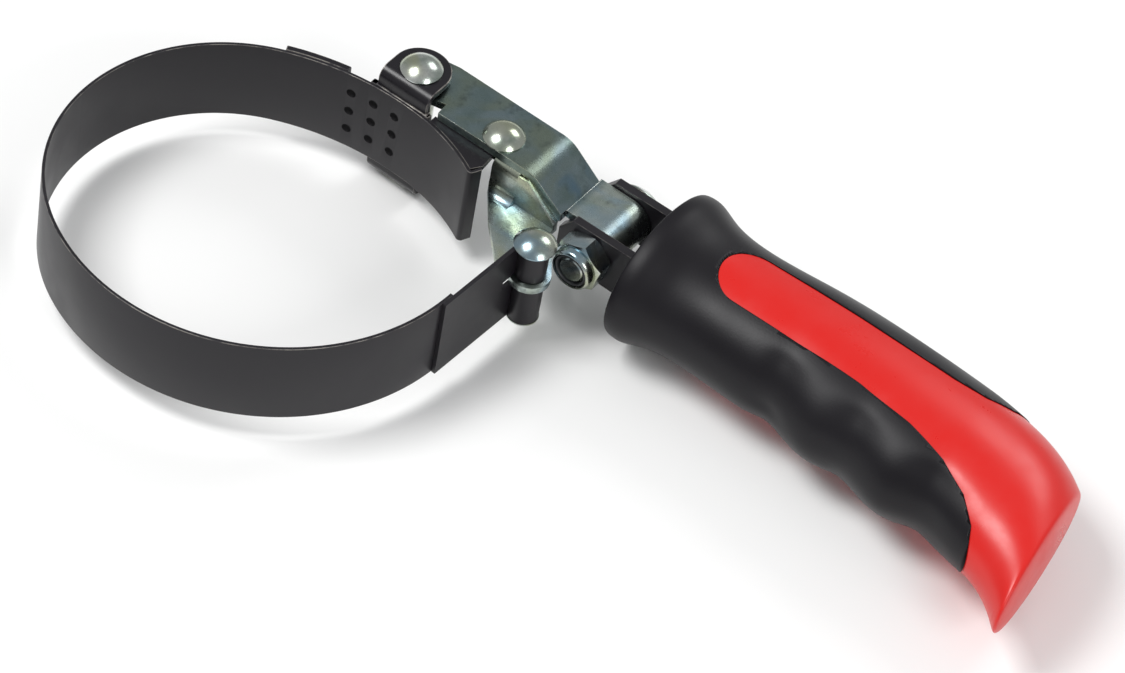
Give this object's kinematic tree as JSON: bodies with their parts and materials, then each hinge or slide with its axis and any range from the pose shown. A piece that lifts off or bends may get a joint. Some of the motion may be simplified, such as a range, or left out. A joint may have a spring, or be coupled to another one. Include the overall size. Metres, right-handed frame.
{
  "type": "oil filter wrench",
  "caption": "Band-type oil filter wrench: a spring steel loop closed by a riveted lever, with a moulded two-colour handle that swivels on a cross bolt.",
  "frame": {"origin": "centre of the round seat of the band, at half of the band's width", "axes": "+Z along the filter axis, towards the side with the domed rivet heads; +X along the lever and the handle, away from the band; +Y towards the back of the band, where the bracket is"},
  "size_m": [0.2615, 0.1329, 0.0415],
  "materials": {
    "black_steel": "satin black",
    "zinc": "bright zinc plate",
    "nylon": "dull",
    "red_plastic": "gloss",
    "black_grip": "satin"
  },
  "bodies": {
    "strap_end": {"band_strap_end": "black_steel", "front_strap": "black_steel", "strap_rivet": "zinc"},
    "band_loop": {"band_seat": "black_steel", "band_near": "black_steel"},
    "bracket_end": {"band_bracket_end": "black_steel", "band_tail": "black_steel", "bracket": "black_steel", "bracket_flange": "black_steel"},
    "lever": {"lever_plate": "zinc", "link_plate": "zinc", "lever_rivet": "zinc", "bracket_rivet": "zinc", "spacer_tube": "zinc"},
    "handle": {"swivel_yoke": "black_steel", "swivel_bolt": "zinc", "lock_nut": "zinc", "nut_ring": "nylon", "handle_core": "red_plastic", "grip_sleeve": "black_grip", "yoke_pin": "zinc"}
  },
  "joints": [
    {"name": "lever_turn", "type": "hinge", "parent": "strap_end", "child": "lever", "pos_m": [0.0662, 0.0352, 0], "axis": [0, 0, 1], "range_deg": [-2, 6]},
    {"name": "handle_swivel", "type": "hinge", "parent": "lever", "child": "handle", "pos_m": [0.072, 0.0622, 0], "axis": [0, 1, 0], "range_deg": [-85, 85]},
    {"name": "band_flex_near", "type": "hinge", "parent": "strap_end", "child": "band_loop", "pos_m": [0.04093, -0.03512, 0], "axis": [0, 0, 1], "range_deg": [-1, 2.8], "stiffness_Nm_per_rad": 0.5},
    {"name": "band_flex_back", "type": "hinge", "parent": "band_loop", "child": "bracket_end", "pos_m": [-0.02053, 0.04267, 0], "axis": [0, 0, 1], "range_deg": [-7.7, 2.6], "stiffness_Nm_per_rad": 0.5}
  ],
  "couplings": [
    {"joint": "band_flex_near", "follows": "lever_turn", "ratio": 0.4476},
    {"joint": "band_flex_back", "follows": "lever_turn", "ratio": -1.279}
  ]
}
